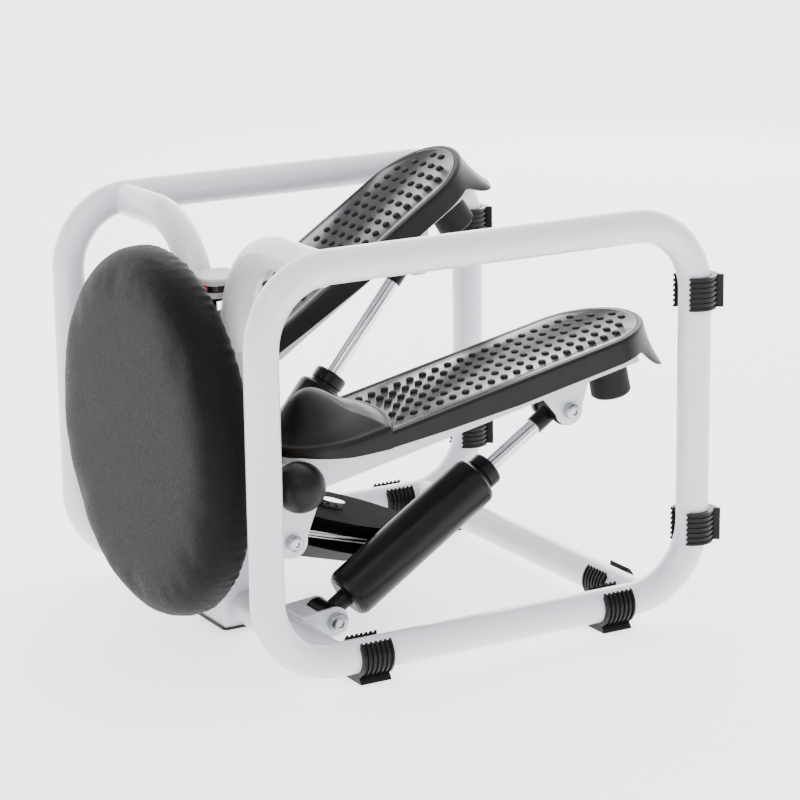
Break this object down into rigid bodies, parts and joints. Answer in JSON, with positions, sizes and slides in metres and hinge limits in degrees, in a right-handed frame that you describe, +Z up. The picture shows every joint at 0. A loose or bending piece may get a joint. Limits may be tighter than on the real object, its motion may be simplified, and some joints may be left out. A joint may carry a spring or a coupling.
{
  "type": "mini stepper",
  "caption": "Low step machine in a tube frame that stands on end as a round stool: two pedals on dampers, joined by a cable round a sheave, with a small counter.",
  "frame": {"origin": "bottom centre of the bounding box with the pedals as pictured, on the floor", "axes": "+Z up, -Y the side the seat and the toes face, +X the right-hand side loop"},
  "size_m": [0.4014, 0.4596, 0.37],
  "materials": {
    "white_paint": "gloss powder coat",
    "black_plastic": "satin moulded",
    "tread_plastic": "satin with raised ovals",
    "grey_paint": "satin",
    "zinc_steel": "zinc plated",
    "bush_plastic": "plain",
    "board": "bare plywood",
    "vinyl": "fine grain",
    "silver_plastic": "metallic",
    "screen": "gloss",
    "circuit": "satin",
    "red_plastic": "gloss",
    "rubber": "plain",
    "damper_paint": "satin",
    "chrome": "polished"
  },
  "bodies": {
    "frame": {"side_loop_right": "white_paint", "side_loop_left": "white_paint", "bridge_tube_right": "white_paint", "bridge_tube_left": "white_paint", "front_cross_tube": "white_paint", "rear_cross_tube": "white_paint", "centre_post": "white_paint", "post_foot": "black_plastic", "damper_bracket_right": "white_paint", "damper_bracket_left": "white_paint", "shaft_cap_right": "black_plastic", "shaft_cap_left": "black_plastic", "bracket_bolts": "zinc_steel", "pivot_shaft": "zinc_steel", "sheave_bracket": "grey_paint", "sheave_axle": "zinc_steel", "seat_bracket": "grey_paint", "seat_bolts": "zinc_steel", "seat_board": "board", "seat_cushion": "vinyl", "counter_bracket": "black_plastic", "counter_tray": "silver_plastic", "counter_band": "screen", "counter_board": "circuit", "counter_cover": "silver_plastic", "base_clips": "black_plastic", "back_clips": "black_plastic", "cross_clips": "black_plastic"},
    "button": {"reset_button": "red_plastic"},
    "sheave_wheel": {"sheave": "black_plastic", "sheave_bush": "bush_plastic", "cable_wrap": "zinc_steel"},
    "pedal_right": {"pedal_arm_right": "white_paint", "hub_bushes_right": "bush_plastic", "pedal_shell_right": "black_plastic", "tread_mat_right": "tread_plastic", "pedal_screws_right": "zinc_steel", "arm_bolts_right": "zinc_steel", "buffer_right": "rubber"},
    "damper_right": {"damper_eye_right": "damper_paint", "damper_tube_right": "damper_paint", "damper_gland_right": "damper_paint"},
    "rod_right": {"damper_rod_right": "chrome", "damper_piston_right": "zinc_steel", "rod_end_right": "damper_paint"},
    "cable_right": {"cable_run_right": "zinc_steel"},
    "pedal_left": {"pedal_arm_left": "white_paint", "hub_bushes_left": "bush_plastic", "pedal_shell_left": "black_plastic", "tread_mat_left": "tread_plastic", "pedal_screws_left": "zinc_steel", "arm_bolts_left": "zinc_steel", "buffer_left": "rubber"},
    "damper_left": {"damper_eye_left": "damper_paint", "damper_tube_left": "damper_paint", "damper_gland_left": "damper_paint"},
    "rod_left": {"damper_rod_left": "chrome", "damper_piston_left": "zinc_steel", "rod_end_left": "damper_paint"},
    "cable_left": {"cable_run_left": "zinc_steel"}
  },
  "joints": [
    {"name": "pedal_right_hinge", "type": "hinge", "parent": "frame", "child": "pedal_right", "pos_m": [0.101, -0.1428, 0.154], "axis": [1, 0, 0], "range_deg": [-10, 31.7]},
    {"name": "damper_right_hinge", "type": "hinge", "parent": "frame", "child": "damper_right", "pos_m": [0.101, -0.1028, 0.0285], "axis": [1, 0, 0], "range_deg": [-8.5, 26.29]},
    {"name": "rod_right_slide", "type": "slide", "parent": "damper_right", "child": "rod_right", "axis": [0, 0.8393, 0.5436], "range_m": [-0.02081, 0.06531]},
    {"name": "cable_right_hinge", "type": "hinge", "parent": "pedal_right", "child": "cable_right", "pos_m": [0.073, -0.14266, 0.10399], "axis": [1, 0, 0], "range_deg": [-40.24, 12.9]},
    {"name": "pedal_left_hinge", "type": "hinge", "parent": "frame", "child": "pedal_left", "pos_m": [-0.101, -0.1428, 0.154], "axis": [1, 0, 0], "range_deg": [-31.7, 10]},
    {"name": "damper_left_hinge", "type": "hinge", "parent": "frame", "child": "damper_left", "pos_m": [-0.101, -0.1028, 0.0285], "axis": [1, 0, 0], "range_deg": [-26.29, 8.5]},
    {"name": "rod_left_slide", "type": "slide", "parent": "damper_left", "child": "rod_left", "axis": [0, 0.6338, 0.7735], "range_m": [-0.06586, 0.02098]},
    {"name": "cable_left_hinge", "type": "hinge", "parent": "pedal_left", "child": "cable_left", "pos_m": [-0.073, -0.12417, 0.10759], "axis": [1, 0, 0], "range_deg": [-13.2, 41.19]},
    {"name": "sheave_spin", "type": "hinge", "parent": "frame", "child": "sheave_wheel", "pos_m": [0, -0.0443, 0.0749], "axis": [0, 0.2689, 0.9632], "range_deg": [-6.3, 19.32]},
    {"name": "reset_button_press", "type": "slide", "parent": "frame", "child": "button", "axis": [0, 1, 0], "range_m": [0, 0.0012], "stiffness_N_per_m": 300, "springref_m": -0.0015}
  ],
  "couplings": [
    {"joint": "damper_right_hinge", "follows": "pedal_right_hinge", "ratio": 0.82},
    {"joint": "rod_right_slide", "follows": "pedal_right_hinge", "m_per_rad": 0.1175},
    {"joint": "cable_right_hinge", "follows": "pedal_right_hinge", "ratio": -1.26},
    {"joint": "pedal_left_hinge", "follows": "pedal_right_hinge", "ratio": -1},
    {"joint": "damper_left_hinge", "follows": "pedal_right_hinge", "ratio": -0.82},
    {"joint": "rod_left_slide", "follows": "pedal_right_hinge", "m_per_rad": -0.1185},
    {"joint": "cable_left_hinge", "follows": "pedal_right_hinge", "ratio": 1.29},
    {"joint": "sheave_spin", "follows": "pedal_right_hinge", "ratio": 0.6}
  ]
}
